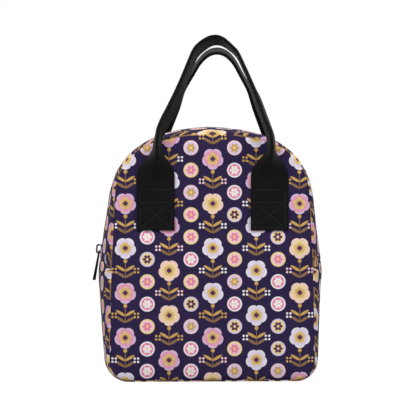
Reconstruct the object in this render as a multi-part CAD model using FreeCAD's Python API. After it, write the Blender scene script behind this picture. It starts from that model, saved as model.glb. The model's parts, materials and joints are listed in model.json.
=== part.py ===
import FreeCAD, Part
import math
import os

from FreeCAD import Vector

# Soft insulated lunch tote: arched front and back panels, one bulging gusset round the edge,
# a zip over the arch, a front that folds open at the zip's ends, and two folded webbing handles.
# Millimetres. Seen from the front, +X is to the right, +Y goes to the back and +Z is up.
# The origin is the middle of the base, on the surface that the tote stands on.

# Body
depth = 136.0                 # outer face of the front cloth to outer face of the back cloth
zip_end_height = 125.0        # where the zip ends on each side, and where the front folds
belly_below_zip = 3.0         # the sides run straight from this far below the zip's ends
belly_radius = 150.0          # turn from the lower to the upper lean
base_sink = 0.4               # how far the soft base is pressed flat

# Outline at the two panel seams
half_width = 104.4            # at the belly
top_height = 250.5
lower_lean = -1.0             # degrees that the sides narrow upwards
upper_lean = 4.7
corner_radius = 20.0
shoulder_radius = 60.0
crown_radius = 172.0

# Bulge of the gusset past the seams
bulge = 10.2                  # on the flat strip along the middle
flat_strip = 44.0             # width of that strip, which carries the zip
corner_facets = 5             # flats round a bottom corner
layer_turn = 6.0              # degrees from flat to flat in the layers under the cloth
cloth_turn = 2.0              # and from point to point that fixes an arc of the cloth

# Layers of every wall, from the outside in
cloth = 1.0
foam = 3.5
lining = 0.5
ply_gap = 0.25                # air left between layers
fold_gap = 0.3                # air left where one body moves past another
binding = 1.5                 # tape that covers the raw seams inside
binding_width = 6.0

# Zip
tape = 0.6
tape_width = 12.0
hem_width = 2.5               # how far the cloth of a band stands past its foam
tooth_pitch = 3.0
tooth_length = 2.6
tooth_height = 2.6
tooth_neck = 0.8              # width of a tooth beside the tape
tooth_head = 1.4              # width of a tooth at its tip
stop_length = 3.0
stop_gap = 0.4

# Slider and pull
slider_length = 10.0
slider_nose = 7.4             # width at the end where the closed row comes out
slider_plate = 1.2
slider_clearance = 0.35
slider_lip = 0.8
slot_clearance = 1.3          # slider to the cloth edge of a band
post_width = 1.0
post_length = 2.4
bridge_length = 9.0
bridge_height = 4.2
bridge_width = 2.2
bridge_strip = 1.0
pin_radius = 0.9
pull_tilt = 4.5               # degrees that the hanging pull stands off the zip
pull_side_gap = 1.2           # bridge to a leg of the pull
pull_leg = 1.2
pull_thickness = 1.8
pull_length = 26.0
pull_grip_hole = 2.6

# Handles
webbing = 1.6
webbing_width = 38.0
handle_spacing = 115.0        # middle to middle of the two sewn ends
sewn_drop = 43.7              # top edge of the panel down to the top of a sewn end
sewn_length = 44.0
turned_end = 17.0             # length of the end that is turned under
turned_ramp = 5.0
flat_length = 12.0            # flat webbing above a sewn end
closing_length = 23.0         # over which the webbing closes to a fold
fold_slit = 1.6               # clear gap between the edges of the folded webbing
lean_radius = 25.0            # bend where a handle leaves the panel's top edge
front_handle_lean = 17.0      # degrees
back_handle_lean = 22.0
handle_reach = 109.4          # top of the handle's edges above the panel's edge, along the handle
grip_radius = 22.0
leg_drop = 2.5                # the legs start to slant this far below the panel's edge
leg_bend_radius = 60.0
closing_steps = 9             # straight facets while the webbing closes and leans back
grip_steps = 6                # and round each half of the grip

half_depth = depth / 2
below_fold = zip_end_height - fold_gap / 2
above_fold = zip_end_height + fold_gap / 2
far = 4 * (top_height + depth)

zip_lean = math.radians(upper_lean)
belly_turn = math.radians(upper_lean - lower_lean)
belly_height = zip_end_height - belly_below_zip - belly_radius * math.tan(belly_turn / 2) * math.cos(zip_lean)

nodes = {}


def keep(name, shape):
    if shape.ShapeType == "Compound" and len(shape.Solids) == 1:
        shape = shape.Solids[0]
    nodes[name] = shape


def between(low, high, share):
    return low + (high - low) * share


def flat_face(corners):
    return Part.Face(Part.makePolygon(corners + corners[:1]))


# The tote's outer form
def right_arcs(out):
    # Round stretches of the right half of the outline, as (centre x, centre z, radius, start, end in degrees)
    low_angle = math.radians(lower_lean)
    high_angle = math.radians(upper_lean)

    # The bottom corner grows upwards, so that the base stays flat.
    corner = corner_radius + out
    corner_z = corner - base_sink
    corner_x = half_width + (belly_height - corner_z) * math.tan(low_angle) - corner_radius / math.cos(low_angle)

    middle_angle = (low_angle + high_angle) / 2
    belly_reach = belly_radius / math.cos((high_angle - low_angle) / 2)
    belly_x = half_width - belly_reach * math.cos(middle_angle)
    belly_z = belly_height - belly_reach * math.sin(middle_angle)

    # The shoulder touches the upper side and the crown.
    crown_z = top_height - crown_radius
    side = half_width * math.cos(high_angle) + belly_height * math.sin(high_angle) - shoulder_radius
    along = side - crown_z * math.sin(high_angle)
    climb = math.sqrt((crown_radius - shoulder_radius) ** 2 - along ** 2)
    shoulder_x = along * math.cos(high_angle) - climb * math.sin(high_angle)
    shoulder_z = crown_z + along * math.sin(high_angle) + climb * math.cos(high_angle)
    meet = math.degrees(math.atan2(shoulder_z - crown_z, shoulder_x))

    return [
        (corner_x, corner_z, corner, -90.0, lower_lean),
        (belly_x, belly_z, belly_radius + out, lower_lean, upper_lean),
        (shoulder_x, shoulder_z, shoulder_radius + out, upper_lean, meet),
        (0.0, crown_z, crown_radius + out, meet, 180.0 - meet),
    ]


def all_arcs(out):
    right = right_arcs(out)
    left = [(-x, z, r, 180.0 - end, 180.0 - start) for x, z, r, start, end in reversed(right[:3])]
    return right + left


def on_arc(arc, degrees, y, inset):
    x, z, radius, start, end = arc
    angle = math.radians(degrees)
    reach = radius - inset
    return Vector(x + reach * math.cos(angle), y, z + reach * math.sin(angle))


def skin(sections, level=False):
    # Closed body of flat facets through sections that have the same number of corners.
    # Level sections have parallel sides, so that four corners lie in one plane.
    faces = [flat_face(sections[0]), flat_face(sections[-1])]
    for near, beyond in zip(sections, sections[1:]):
        for i in range(len(near)):
            corners = [near[i - 1], near[i], beyond[i], beyond[i - 1]]
            if level:
                faces.append(flat_face(corners))
            else:
                faces.append(flat_face(corners[:3]))
                faces.append(flat_face(corners[:1] + corners[2:]))
    shell = Part.Shell(faces)
    shell.sewShape()
    return Part.Solid(shell)


def outline_runs(y, inset, turn):
    # Points along each round stretch of the outline, a bottom corner in its own flats and the others by a turn
    past = max(abs(y) - flat_strip / 2, 0.0) / (half_depth - flat_strip / 2)
    arcs = all_arcs(bulge * (1 - past))
    runs = []
    for place, arc in enumerate(arcs):
        bottom_corner = place in (0, len(arcs) - 1)
        steps = corner_facets if bottom_corner else max(round((arc[4] - arc[3]) / turn), 1)
        runs.append([on_arc(arc, between(arc[3], arc[4], i / steps), y, inset) for i in range(steps + 1)])
    return runs


def outline_wire(y, inset):
    # True arcs between the two bottom corners
    runs = outline_runs(y, inset, cloth_turn)
    edges = []
    last = runs[-1][-1]
    for place, run in enumerate(runs):
        if run[0].distanceToPoint(last) > 1e-6:
            edges.append(Part.LineSegment(last, run[0]).toShape())
        if place in (0, len(runs) - 1):
            edges += Part.makePolygon(run).Edges
        else:
            edges.append(Part.Arc(run[0], run[len(run) // 2], run[-1]).toShape())
        last = run[-1]
    return Part.Wire(edges)


def outline_flats(y, inset):
    points = []
    for run in outline_runs(y, inset, layer_turn):
        points += [point for point in run if not points or point.distanceToPoint(points[-1]) > 1e-6]
    return points


tubes = {}


def tube(inset):
    # The whole outer form drawn in by inset, a little deeper than the tote. The layers under the cloth are flats.
    if inset not in tubes:
        end = half_depth + cloth
        stations = [-end, -flat_strip / 2, flat_strip / 2, end]
        if inset > cloth:
            tubes[inset] = skin([outline_flats(y, inset) for y in stations], True)
        else:
            tubes[inset] = Part.makeLoft([outline_wire(y, inset) for y in stations], True, True)
    return tubes[inset]


def plate(inset, y_low, y_high, z_low=0.0, z_high=far):
    slab = Part.makeBox(2 * far, y_high - y_low, z_high - z_low, Vector(-far, y_low, z_low))
    return tube(inset).common(slab)


def ring(outer, inner, y_low, y_high, z_low=0.0, z_high=far):
    return plate(outer, y_low, y_high, z_low, z_high).cut(tube(inner))


# Layers, as distances in from the outer form
foam_inset = cloth + ply_gap
lining_inset = foam_inset + foam + ply_gap
wall = lining_inset + lining
binding_inset = wall + ply_gap

# Front and back panels of three layers each. The front is cut where it folds open.
for layer, inset, thickness in (("cloth", 0.0, cloth), ("foam", foam_inset, foam), ("lining", lining_inset, lining)):
    outer = half_depth - inset
    inner = outer - thickness
    keep("front_lower_" + layer, plate(inset, -outer, -inner, z_high=below_fold))
    keep("front_upper_" + layer, plate(inset, -outer, -inner, z_low=above_fold))
    keep("back_panel_" + layer, plate(inset, inner, outer))

# Zip sizes that follow from what runs along it
tooth_tip = post_width / 2 + slider_clearance           # tip of a tooth from the mid-plane
tooth_root = tooth_tip + tooth_length
tape_edge = tooth_root + ply_gap
tape_far = tape_edge + tape_width
slider_width = 2 * (tooth_root + slider_clearance + slider_lip)
slot = slider_width / 2 + slot_clearance                # cloth edge of a band from the mid-plane
tape_inset = cloth + ply_gap
zip_inset = tape_inset + tape / 2                       # the teeth are centred on the tape
band_foam_inset = tape_inset + tape + ply_gap

# Gusset: one strip under the fold, and a band each side of the zip above it.
# Each layer butts against the inner face of its panel.
gusset_layers = (
    ("cloth", 0.0, 0.0, cloth, half_depth - cloth - ply_gap, slot),
    ("foam", foam_inset, band_foam_inset, foam_inset + foam, half_depth - lining_inset, slot + hem_width),
    ("lining", lining_inset, lining_inset, wall, half_depth - binding_inset, slot + hem_width),
)
for layer, outer, band_outer, inner, reach, edge in gusset_layers:
    keep("lower_gusset_" + layer, ring(outer, inner, -reach, reach, z_high=below_fold))
    keep("front_band_" + layer, ring(band_outer, inner, -reach, -edge, z_low=above_fold))
    keep("rear_band_" + layer, ring(band_outer, inner, edge, reach, z_low=above_fold))

# Zip tapes between the cloth and the foam, and binding over the raw seams inside
tape_under = tape_inset + tape
keep("front_zip_tape", ring(tape_inset, tape_under, -tape_far, -tape_edge, z_low=above_fold))
keep("rear_zip_tape", ring(tape_inset, tape_under, tape_edge, tape_far, z_low=above_fold))
seam = half_depth - binding_inset
bound = seam - binding_width
binding_under = binding_inset + binding
keep("front_lower_binding", ring(binding_inset, binding_under, -seam, -bound, z_high=below_fold))
keep("front_upper_binding", ring(binding_inset, binding_under, -seam, -bound, z_low=above_fold))
keep("back_binding", ring(binding_inset, binding_under, bound, seam))

# The zip's line at mid-depth, from its left end over the arch to its right end
right_shoulder, crown_arc, left_shoulder = all_arcs(bulge)[2:5]


def zip_runs():
    # (length, first point, last point, arc or None) of each stretch
    high = on_arc(right_shoulder, right_shoulder[3], 0.0, zip_inset)
    low_x = high.x + (high.z - zip_end_height) * math.tan(zip_lean)
    left_low = Vector(-low_x, 0, zip_end_height)
    left_high = Vector(-high.x, 0, high.z)
    right_low = Vector(low_x, 0, zip_end_height)
    runs = [(left_low.distanceToPoint(left_high), left_low, left_high, None)]
    for arc in (left_shoulder, crown_arc, right_shoulder):
        length = (arc[2] - zip_inset) * math.radians(arc[4] - arc[3])
        runs.append((length, on_arc(arc, arc[4], 0.0, zip_inset), on_arc(arc, arc[3], 0.0, zip_inset), arc))
    runs.append((high.distanceToPoint(right_low), high, right_low, None))
    return runs


def zip_place(travel):
    # Point of the zip's line at a distance from its left end, its direction and its outward normal
    for length, first, last, arc in zip_runs():
        if travel <= length:
            break
        travel -= length
    if arc is None:
        along = (last - first).normalize()
        return first + along * travel, along, Vector(-along.z, 0, along.x)
    angle = math.radians(arc[4]) - travel / (arc[2] - zip_inset)
    out = Vector(math.cos(angle), 0, math.sin(angle))
    return on_arc(arc, math.degrees(angle), 0.0, zip_inset), Vector(out.z, 0, -out.x), out


def zip_block(travel, y_low, y_high, height):
    # Rectangle across the zip's line, centred on the tape
    point, along, out = zip_place(travel)
    sides = ((y_low, -0.5), (y_high, -0.5), (y_high, 0.5), (y_low, 0.5))
    return flat_face([point + out * (share * height) + Vector(0, y, 0) for y, share in sides])


def tooth(travel, side):
    # One moulded tooth, which widens from the tape to its tip
    point, along, out = zip_place(travel)
    neck = tooth_neck / 2
    head = tooth_head / 2
    shape = [(head, tooth_tip), (neck, tooth_root), (-neck, tooth_root), (-head, tooth_tip)]
    base = point - out * (tooth_height / 2)
    return flat_face([base + along * a + Vector(0, side * b, 0) for a, b in shape]).extrude(out * tooth_height)


zip_length = sum(run[0] for run in zip_runs())
teeth_start = stop_length + stop_gap
teeth_end = zip_length - teeth_start
teeth_count = int((teeth_end - teeth_start) / tooth_pitch) - 1
for name, side, shift in (("front_zip_teeth", -1, 0.5), ("rear_zip_teeth", 1, 1.0)):
    row = [tooth(teeth_start + (i + shift) * tooth_pitch, side) for i in range(teeth_count)]
    keep(name, Part.Compound(row))

# Stops that clamp the rear row at both ends of the zip
stops = []
for travel in (stop_gap / 2, zip_length - stop_gap / 2 - stop_length):
    along = zip_place(travel)[1]
    stops.append(zip_block(travel, tooth_tip, tooth_root, tooth_height).extrude(along * stop_length))
keep("zip_end_stops", Part.Compound(stops))

# Slider and pull are drawn flat, x across the zip, y along it and z outwards, then set on the left side.
slider_point, slider_along, slider_out = zip_place(teeth_start + slider_length / 2)
plate_near = tooth_height / 2 + slider_clearance
plate_far = plate_near + slider_plate
bridge_top = plate_far + bridge_height


def on_slider(shape):
    x, y, z, at = slider_along.cross(slider_out), slider_along, slider_out, slider_point
    return shape.transformed(FreeCAD.Matrix(
        x.x, y.x, z.x, at.x,
        x.y, y.y, z.y, at.y,
        x.z, y.z, z.z, at.z,
        0, 0, 0, 1,
    ))


def edges_along(shape, axis, keeps):
    return [edge for edge in shape.Edges
            if abs(edge.tangentAt(edge.FirstParameter).dot(axis)) > 0.99 and keeps(edge.CenterOfMass)]


def slider_wing(z_low):
    half = slider_length / 2
    wide = slider_width / 2
    nose = slider_nose / 2
    bend = slider_length / 6
    points = [(-wide, -half), (wide, -half), (wide, bend), (nose, half), (-nose, half), (-wide, bend)]
    wing = flat_face([Vector(x, y, z_low) for x, y in points]).extrude(Vector(0, 0, slider_plate))
    return wing.makeFillet(slider_plate, edges_along(wing, Vector(0, 0, 1), lambda at: True))


def slider_lips(sign):
    # Lips along both sides that keep the row in, with a slit left between them for the tape
    low, high = sorted((sign * plate_near, sign * (tape / 2 + slider_clearance)))
    length = slider_length / 2
    lips = []
    for left in (-slider_width / 2, slider_width / 2 - slider_lip):
        lips.append(Part.makeBox(slider_lip, length, high - low, Vector(left, slider_plate - length, low)))
    return lips


def slider_bridge():
    across = Vector(1, 0, 0)
    half = bridge_length / 2
    seat = plate_far - slider_plate / 2
    strip = bridge_strip
    arch = Part.makeBox(bridge_width, bridge_length, bridge_top - seat, Vector(-bridge_width / 2, -half, seat))
    arch = arch.makeFillet(bridge_height / 2, edges_along(arch, across, lambda at: at.z > bridge_top - strip / 2))
    opening = Part.makeBox(2 * bridge_width, bridge_length - 2 * strip, bridge_height - strip,
                           Vector(-bridge_width, strip - half, plate_far))
    upper = edges_along(opening, across, lambda at: at.z > plate_far + strip)
    return arch.cut(opening.makeFillet((bridge_height - strip) / 2, upper))


post = Part.makeBox(post_width, post_length, 2 * plate_far - slider_plate,
                    Vector(-post_width / 2, -slider_length / 2, slider_plate / 2 - plate_far))
slider_pieces = [slider_wing(-plate_far), post, slider_bridge()] + slider_lips(1) + slider_lips(-1)
keep("zip_slider", on_slider(slider_wing(plate_near).multiFuse(slider_pieces).removeSplitter()))

# Pull: a round pin inside the bridge, two legs beside it and a flat tab with a grip hole
pin_height = plate_far + slider_clearance + pin_radius
pin_drop = bridge_length / 2 - bridge_strip - slider_clearance - pin_radius
pull_eye = math.hypot(bridge_length / 2 - pin_drop, bridge_top - pin_height) + slider_clearance
eye_width = bridge_width + 2 * pull_side_gap
pull_width = eye_width + 2 * pull_leg


def zip_pull():
    half = pull_width / 2
    tab = Part.makeBox(pull_width, pull_length, pull_thickness, Vector(-half, -pull_length, -pull_thickness / 2))
    lower = edges_along(tab, Vector(0, 0, 1), lambda at: at.y < -pull_length / 2)
    tab = tab.makeFillet(pull_width / 2.5, lower)
    eye = Part.makeBox(eye_width, pull_eye, 2 * pull_thickness, Vector(-eye_width / 2, -pull_eye, -pull_thickness))
    grip = Part.makeCylinder(pull_grip_hole / 2, 2 * pull_thickness, Vector(0, half - pull_length, -pull_thickness))
    pin = Part.makeCylinder(pin_radius, pull_width, Vector(-half, 0, 0), Vector(1, 0, 0))
    return tab.cut(eye).cut(grip).fuse(pin).removeSplitter()


pull = zip_pull()
pull.rotate(Vector(0, 0, 0), Vector(1, 0, 0), -pull_tilt)
pull.translate(Vector(0, -pin_drop, pin_height))
keep("zip_pull", on_slider(pull))

# Handles. Both are drawn at the front, and the back one is then turned half round.
handle_x = handle_spacing / 2
panel_edge = top_height - crown_radius + math.sqrt(crown_radius ** 2 - handle_x ** 2)
sewn_top = panel_edge - sewn_drop
sewn_bottom = sewn_top - sewn_length
web_inner = half_depth + ply_gap
web_middle = web_inner + webbing / 2
web_outer = web_inner + webbing


def sewn_end(x):
    # A flat end sewn to the panel, its last stretch turned under and so twice as thick
    profile = [
        (web_inner, sewn_bottom),
        (web_outer + webbing, sewn_bottom),
        (web_outer + webbing, sewn_bottom + turned_end),
        (web_outer, sewn_bottom + turned_end + turned_ramp),
        (web_outer, sewn_top),
        (web_inner, sewn_top),
    ]
    corners = [Vector(x - webbing_width / 2, -y, z) for y, z in profile]
    return flat_face(corners).extrude(Vector(webbing_width, 0, 0))


# Right half of a handle's edge line in its own plane: up, a bend, a slanting leg and the grip's arc.
# Heights in the plane are taken from the panel's edge.
loop_start = fold_gap - sewn_drop
grip_centre = handle_reach - grip_radius
bend_centre = handle_x - leg_bend_radius
rise = grip_centre + leg_drop
apart = math.hypot(bend_centre, rise)
slant = math.atan2(rise, -bend_centre) - math.acos((leg_bend_radius - grip_radius) / apart)
leg_foot = (bend_centre + leg_bend_radius * math.cos(slant), leg_bend_radius * math.sin(slant) - leg_drop)
leg_head = (grip_radius * math.cos(slant), grip_centre + grip_radius * math.sin(slant))
leg_length = math.hypot(leg_head[0] - leg_foot[0], leg_head[1] - leg_foot[1])
half_route = [
    (-leg_drop - loop_start, (handle_x, loop_start), 0.0, None),
    (leg_bend_radius * slant, (handle_x, -leg_drop), 0.0, leg_bend_radius),
    (leg_length, leg_foot, slant, None),
    (grip_radius * (math.pi / 2 - slant), leg_head, slant, grip_radius),
]


def route_place(travel):
    # (x, height, slant) at a distance from the sewn end
    for length, (x, height), turned, radius in half_route:
        if travel <= length:
            break
        travel -= length
    if radius is None:
        return x - travel * math.sin(turned), height + travel * math.cos(turned), turned
    after = turned + travel / radius
    x += radius * (math.cos(after) - math.cos(turned))
    return x, height + radius * (math.sin(after) - math.sin(turned)), after


def leaned(x, height, lean):
    # The handle's plane bent back over the panel's edge: the point, the inward normal and the way up
    angle = min(max(height, 0.0) / lean_radius, lean)
    beyond = max(height - lean_radius * lean, 0.0)
    inward = Vector(0, math.cos(angle), -math.sin(angle))
    upward = Vector(0, math.sin(angle), math.cos(angle))
    bent = Vector(x, lean_radius * (1 - math.cos(angle)), min(height, 0.0) + lean_radius * math.sin(angle))
    return Vector(0, -web_middle, panel_edge) + bent + upward * beyond, inward, upward


ply = webbing_width / 2
thick = webbing / 2
folded = math.asin((fold_slit + webbing) / 2 / ply)


def web_section(x, height, turned, lean):
    # Two halves that meet in a round crease on the outer side, flat at the sewn end and then closing to a fold
    share = min(max((height - loop_start - flat_length) / closing_length, 0.0), 1.0)
    half = between(math.pi / 2, folded, share * share * (3 - 2 * share))
    point, inward, upward = leaned(x, height, lean)
    sideways = Vector(math.cos(turned), 0, 0) + upward * math.sin(turned)
    crease = -ply * math.cos(half)

    def on_half(along, offset):
        across = along * math.sin(half) + offset * math.cos(half)
        return across, crease + along * math.cos(half) - offset * math.sin(half)

    right = [on_half(webbing, thick), on_half(ply, thick), on_half(ply, -thick)]
    left = [(-a, b) for a, b in reversed(right)]
    section = [(0.0, crease - thick)] + right + [(0.0, crease + thick / math.sin(half))] + left
    return [point + sideways * a + inward * b for a, b in section]


def handle_loop(lean):
    upright, bend, leg, grip = [run[0] for run in half_route]
    leg_start = upright + bend
    leg_end = leg_start + leg
    travels = [0.0]
    travels += [between(flat_length, leg_start, i / closing_steps) for i in range(closing_steps + 1)]
    travels += [leg_end + grip * i / grip_steps for i in range(grip_steps)]
    right = [route_place(travel) for travel in travels]
    left = [(-x, height, math.pi - turned) for x, height, turned in reversed(right)]
    stations = right + [(0.0, handle_reach, math.pi / 2)] + left
    sections = [web_section(x, height, turned, math.radians(lean)) for x, height, turned in stations]
    return skin(sections)


def turned_round(shape):
    copy = shape.copy()
    copy.rotate(Vector(0, 0, 0), Vector(0, 0, 1), 180)
    return copy


ends = Part.Compound([sewn_end(-handle_x), sewn_end(handle_x)])
keep("front_handle_ends", ends)
keep("back_handle_ends", turned_round(ends))
keep("front_handle_loop", handle_loop(front_handle_lean))
keep("back_handle_loop", turned_round(handle_loop(back_handle_lean)))

os.makedirs("parts", exist_ok=True)
for name, shape in nodes.items():
    shape.exportStep(os.path.join("parts", name + ".step"))
    print(name, len(shape.Solids), "solid", "valid" if shape.isValid() else "not valid", round(shape.Volume, 1))

pin_point = slider_point + slider_out * pin_height - slider_along * pin_drop
print("zip", round(zip_length, 2), "long,", teeth_count, "teeth in a row, leg slant", round(math.degrees(slant), 2))
print("slider moves along", slider_along)
print("pull turns at", pin_point)
print("handles turn at y", web_outer + fold_gap / 2, "z", sewn_top + fold_gap / 2)
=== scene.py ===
from functools import partial
import json
from math import acos, asin, atan2, cos, exp, hypot, pi, radians, sin, sqrt, tan

import bmesh
import bpy
import numpy as np
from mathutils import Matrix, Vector, noise
from mathutils.bvhtree import BVHTree


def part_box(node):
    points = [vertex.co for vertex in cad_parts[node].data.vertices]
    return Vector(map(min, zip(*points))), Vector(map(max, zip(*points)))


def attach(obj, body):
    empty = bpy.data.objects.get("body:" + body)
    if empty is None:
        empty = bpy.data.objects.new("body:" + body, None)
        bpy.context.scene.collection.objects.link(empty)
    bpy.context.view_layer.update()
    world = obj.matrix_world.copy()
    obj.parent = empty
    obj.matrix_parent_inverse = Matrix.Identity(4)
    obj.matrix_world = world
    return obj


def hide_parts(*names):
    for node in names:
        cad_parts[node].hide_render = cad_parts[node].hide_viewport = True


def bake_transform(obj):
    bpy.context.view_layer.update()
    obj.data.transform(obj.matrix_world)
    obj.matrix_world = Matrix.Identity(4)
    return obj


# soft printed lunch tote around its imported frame, metres, front towards -Y
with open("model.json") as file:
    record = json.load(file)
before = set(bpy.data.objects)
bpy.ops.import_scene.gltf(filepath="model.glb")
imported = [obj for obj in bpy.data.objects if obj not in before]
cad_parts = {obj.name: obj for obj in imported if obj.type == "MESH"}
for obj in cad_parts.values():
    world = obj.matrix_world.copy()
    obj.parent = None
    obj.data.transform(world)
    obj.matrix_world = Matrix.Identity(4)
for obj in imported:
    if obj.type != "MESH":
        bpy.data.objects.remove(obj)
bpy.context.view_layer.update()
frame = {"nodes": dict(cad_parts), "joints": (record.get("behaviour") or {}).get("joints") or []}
nodes = frame["nodes"]
joints = {joint["name"]: joint for joint in frame["joints"]}
scene = bpy.context.scene
scene.view_settings.view_transform = "Standard"
print("frame loaded,", len(nodes), "nodes")

halfDepth = -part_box("front_lower_cloth")[0].y
foldY, foldZ = joints["front_fold"]["pos_m"][1:]
slotEdge = -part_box("front_band_cloth")[1].y  # cloth edge beside the zip
tapeFar = -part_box("front_zip_tape")[0].y

bodyShape = {
    # outline at the panel seams and at mid-depth, leans in degrees
    "seam": {"halfWidth": 0.1037, "top": 0.2517, "lowerLean": 1.2, "upperLean": 2.7,
             "corner": 0.021, "shoulder": 0.0563, "crown": 0.2114},
    "middle": {"halfWidth": 0.1162, "top": 0.2605, "lowerLean": -4.1, "upperLean": 8.3,
               "corner": 0.022, "shoulder": 0.0846, "crown": 0.1853},
    "bellyHeight": 0.114,
    "bellyRadius": 0.100,
    "bow": 2.3,  # higher stands fuller beside the seams
    "seamRoll": 0.0018,  # cloth rolled in towards the seam from both sides
    "rollWidth": 0.0017,
    "dent": 0.0010,  # soft dents in the gusset
    "dentScale": 24,
    "dentFade": 0.02,
    "pucker": 0.0007,  # gathers beside the seams
    "puckerLength": 0.0135,
    "puckerStart": 0.004,
    "puckerFade": 0.010,
    "waveScale": 30,
    "gatherScale": 17,
    "baseCalm": 0.2,  # share of dents and gathers left on the base
    "lip": 0.0008,  # lower gusset laid over the zip's ends
    "hemDip": 0.0005,  # band pressed down beside the zip
    "hemWidth": 0.004,
    "grooveMost": 0.004,
    "grooveProbe": 0.03,  # how far out the frame's cloth is looked for
    "probeInset": 0.001,
    "grooveFlat": 0.003,
    "grooveFade": 0.018,  # over which the zip's groove runs out
    "bendLength": 0.058,  # how much of the flap takes part in its fold
}
layerShape = {
    # depth of each layer's outer face below the skin, and its thickness
    "cloth": (0.0, 0.0010),
    "foam": (0.0013, 0.0034),
    "lining": (0.0054, 0.0005),
    "binding": (0.0064, 0.0012),
    "bindingWidth": 0.006,
    "bindingRows": 7,
    "bandFoam": 0.0021,  # band foam lies under the zip tape
    "seamAllowance": 0.0050,  # foam and lining stop this short of the seam
    "seamTake": 0.006,  # cloth taken up by the two seams
    "hem": 0.0025,
    "fineCrease": (0.0007, 60),  # creases in the foil, and how close they lie
    "wideCrease": (0.0012, 22),
    "lowerRows": 18,
    "bandRows": 16,
    "firstRow": 0.002,
    "floorGap": 0.0002,  # base kept just off the floor
    "foamFill": 0.7,
}


def mix(low, high, share):
    return low + (high - low) * share


def smooth(value):
    t = np.clip(value, 0, 1)
    return t * t * (3 - 2 * t)


def cloud(points, scale, seed):
    shift = Vector((seed * 3.7, seed * 1.9, seed * 5.3))
    return np.array([noise.noise(Vector(p) * scale + shift) for p in points])


def linear(red, green, blue):
    values = [c / 255 for c in (red, green, blue)]
    return tuple(c / 12.92 if c <= 0.04045 else ((c + 0.055) / 1.055) ** 2.4 for c in values) + (1.0,)


def onCircle(x, z, radius, angle):
    return x + radius * cos(angle), z + radius * sin(angle)


def sumsOf(steps):
    return np.concatenate([[0], np.cumsum(steps)])


def lengthsAlong(points):
    return sumsOf(np.linalg.norm(np.diff(points, axis=0), axis=1))


def partWay(values, lengths, travel):
    return np.stack([np.interp(travel, lengths, column) for column in values.T], -1)


def atDepth(points, y):
    return np.stack([points[:, 0], np.full(len(points), y), points[:, 1]], 1)


def linked(name, data):
    made = bpy.data.objects.new(name, data)
    scene.collection.objects.link(made)
    return made


# outline of the tote, drawn from the base up the right side to the crown, then mirrored
def arcRun(x, z, radius, start, end, count):
    angles = np.linspace(start, end, count, endpoint=False)
    normals = np.stack([np.cos(angles), np.sin(angles)], 1)
    return np.array([x, z]) + normals * radius, normals


def lineRun(first, last, count):
    first, last = np.array(first), np.array(last)
    along = (last - first) / np.linalg.norm(last - first)
    steps = np.linspace(0, 1, count, endpoint=False)[:, None]
    return first + (last - first) * steps, np.repeat([[along[1], -along[0]]], count, 0)


runCounts = {"base": 22, "corner": 12, "lower": 22, "belly": 8, "gap": 3,
             "upper": 18, "shoulder": 16, "crown": 20}
zipIndex = sum(runCounts[run] for run in ("base", "corner", "lower", "belly", "gap"))


def halfOutline(share):
    seam, middle = bodyShape["seam"], bodyShape["middle"]
    size = {key: mix(seam[key], middle[key], share) for key in seam}
    low, high = radians(size["lowerLean"]), radians(size["upperLean"])
    belly, bellyZ = bodyShape["bellyRadius"], bodyShape["bellyHeight"]
    corner, shoulder, crown = size["corner"], size["shoulder"], size["crown"]
    cornerX = size["halfWidth"] + (bellyZ - corner) * tan(low) - corner / cos(low)
    side = size["halfWidth"] * cos(high) + bellyZ * sin(high) - shoulder
    reach = belly / cos((high - low) / 2)
    bellyX = size["halfWidth"] - reach * cos((high + low) / 2)
    bellyZ -= reach * sin((high + low) / 2)
    crownZ = size["top"] - crown
    along = side - crownZ * sin(high)
    climb = sqrt((crown - shoulder) ** 2 - along ** 2)
    shoulderX = along * cos(high) - climb * sin(high)
    shoulderZ = crownZ + along * sin(high) + climb * cos(high)
    meet = atan2(shoulderZ - crownZ, shoulderX)
    sideLow = onCircle(cornerX, corner, corner, low)
    bellyLow, bellyHigh = [onCircle(bellyX, bellyZ, belly, angle) for angle in (low, high)]
    zipEnd = (bellyHigh[0] - (foldZ - bellyHigh[1]) * tan(high), foldZ)
    sideHigh = onCircle(shoulderX, shoulderZ, shoulder, high)
    runs = [
        (lineRun, (0, 0), (cornerX, 0)),
        (arcRun, cornerX, corner, corner, -pi / 2, low),
        (lineRun, sideLow, bellyLow),
        (arcRun, bellyX, bellyZ, belly, low, high),
        (lineRun, bellyHigh, zipEnd),
        (lineRun, zipEnd, sideHigh),
        (arcRun, shoulderX, shoulderZ, shoulder, high, meet),
        (arcRun, 0, crownZ, crown, meet, pi / 2),
    ]
    made = [run(*values, count) for (run, *values), count in zip(runs, runCounts.values())]
    made.append(([[0, size["top"]]], [[0.0, 1.0]]))
    return [np.concatenate(part) for part in zip(*made)]


def outline(share):
    return [np.concatenate([half, half[-2:0:-1] * np.array([-1, 1])]) for half in halfOutline(share)]


def bowShare(y):
    return max(0.0, 1 - abs(y / halfDepth) ** bodyShape["bow"])


seamPoints, seamNormals = outline(0.0)
middleRun = outline(1.0)[0]
outlineCount = len(middleRun)
zipColumns = np.arange(zipIndex, outlineCount - zipIndex + 1)  # over the arch
lowerColumns = np.arange(-zipIndex - 1, zipIndex + 2)  # round the base, past the zip's ends
runLength = lengthsAlong(np.concatenate([middleRun, middleRun[:1]]))


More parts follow.
